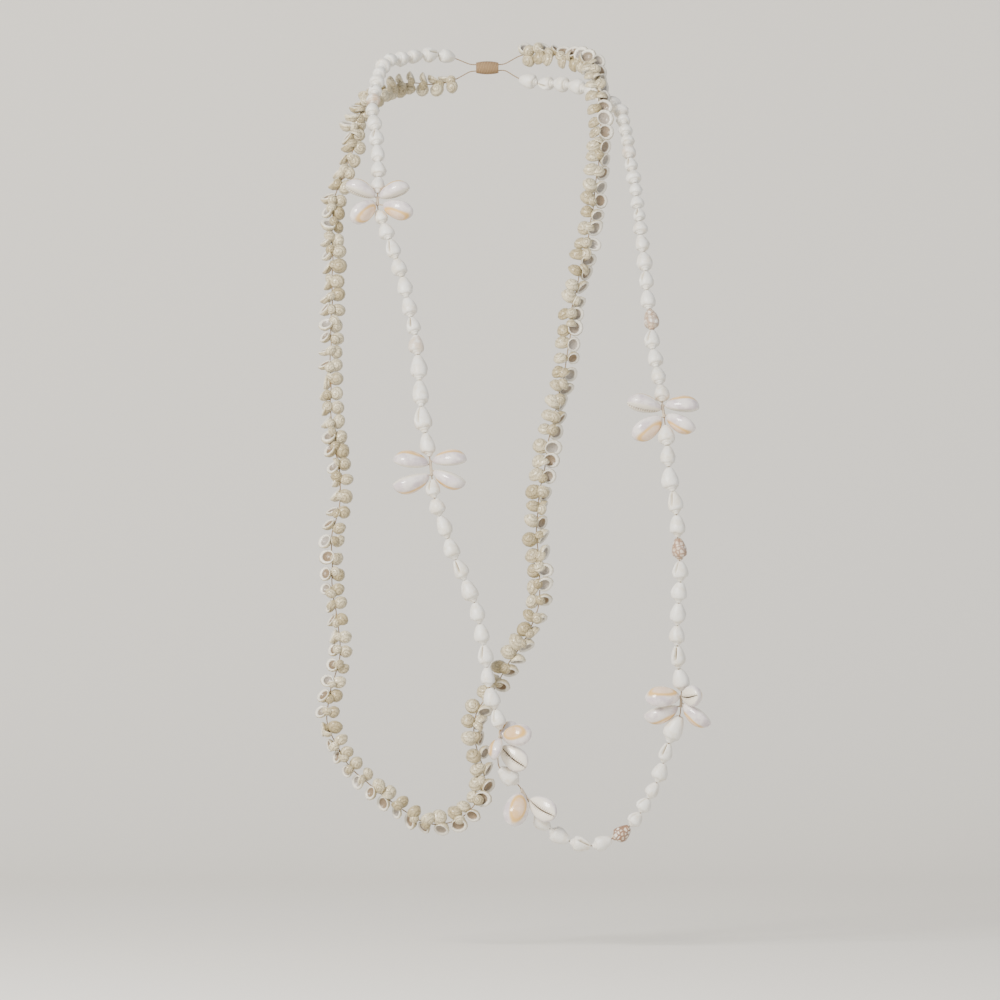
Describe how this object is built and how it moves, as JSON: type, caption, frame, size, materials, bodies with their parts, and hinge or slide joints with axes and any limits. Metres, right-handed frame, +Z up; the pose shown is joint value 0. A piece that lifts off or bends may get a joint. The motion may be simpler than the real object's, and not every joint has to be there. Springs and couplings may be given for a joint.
{
  "type": "cowrie shell necklace",
  "caption": "Long two-string shell necklace: white dove shells with flowers of cowries on one string, small button shells on the other.",
  "frame": {"origin": "where the back of the neck bears on the knot, at the middle of the knot's inner side", "axes": "+Z up, -Y out in front of the wearer's chest, +X to the right as seen from the front"},
  "size_m": [0.2239, 0.1942, 0.4619],
  "materials": {
    "cowrie_shell": "polished porcelain-like shell",
    "dove_shell": "satin white shell",
    "button_shell": "satin speckled shell",
    "thread": "twisted cotton thread"
  },
  "bodies": {
    "root": {"button_shells_left": "button_shell", "button_shells_right": "button_shell", "button_thread": "thread", "cowrie_1_a": "cowrie_shell", "cowrie_1_b": "cowrie_shell", "cowrie_1_c": "cowrie_shell", "cowrie_1_d": "cowrie_shell", "cowrie_2_a": "cowrie_shell", "cowrie_2_b": "cowrie_shell", "cowrie_2_c": "cowrie_shell", "cowrie_2_d": "cowrie_shell", "cowrie_3_a": "cowrie_shell", "cowrie_3_b": "cowrie_shell", "cowrie_3_c": "cowrie_shell", "cowrie_3_d": "cowrie_shell", "cowrie_4_a": "cowrie_shell", "cowrie_4_b": "cowrie_shell", "cowrie_5_a": "cowrie_shell", "cowrie_5_b": "cowrie_shell", "cowrie_5_c": "cowrie_shell", "cowrie_5_d": "cowrie_shell", "cowrie_6_a": "cowrie_shell", "cowrie_6_b": "cowrie_shell", "cowrie_6_c": "cowrie_shell", "cowrie_6_d": "cowrie_shell", "dove_shells_left": "dove_shell", "dove_shells_right": "dove_shell", "dove_thread": "thread", "flower_tie_1": "thread", "flower_tie_2": "thread", "flower_tie_3": "thread", "flower_tie_4": "thread", "flower_tie_5": "thread", "flower_tie_6": "thread", "nape_knot": "thread"}
  },
  "joints": []
}
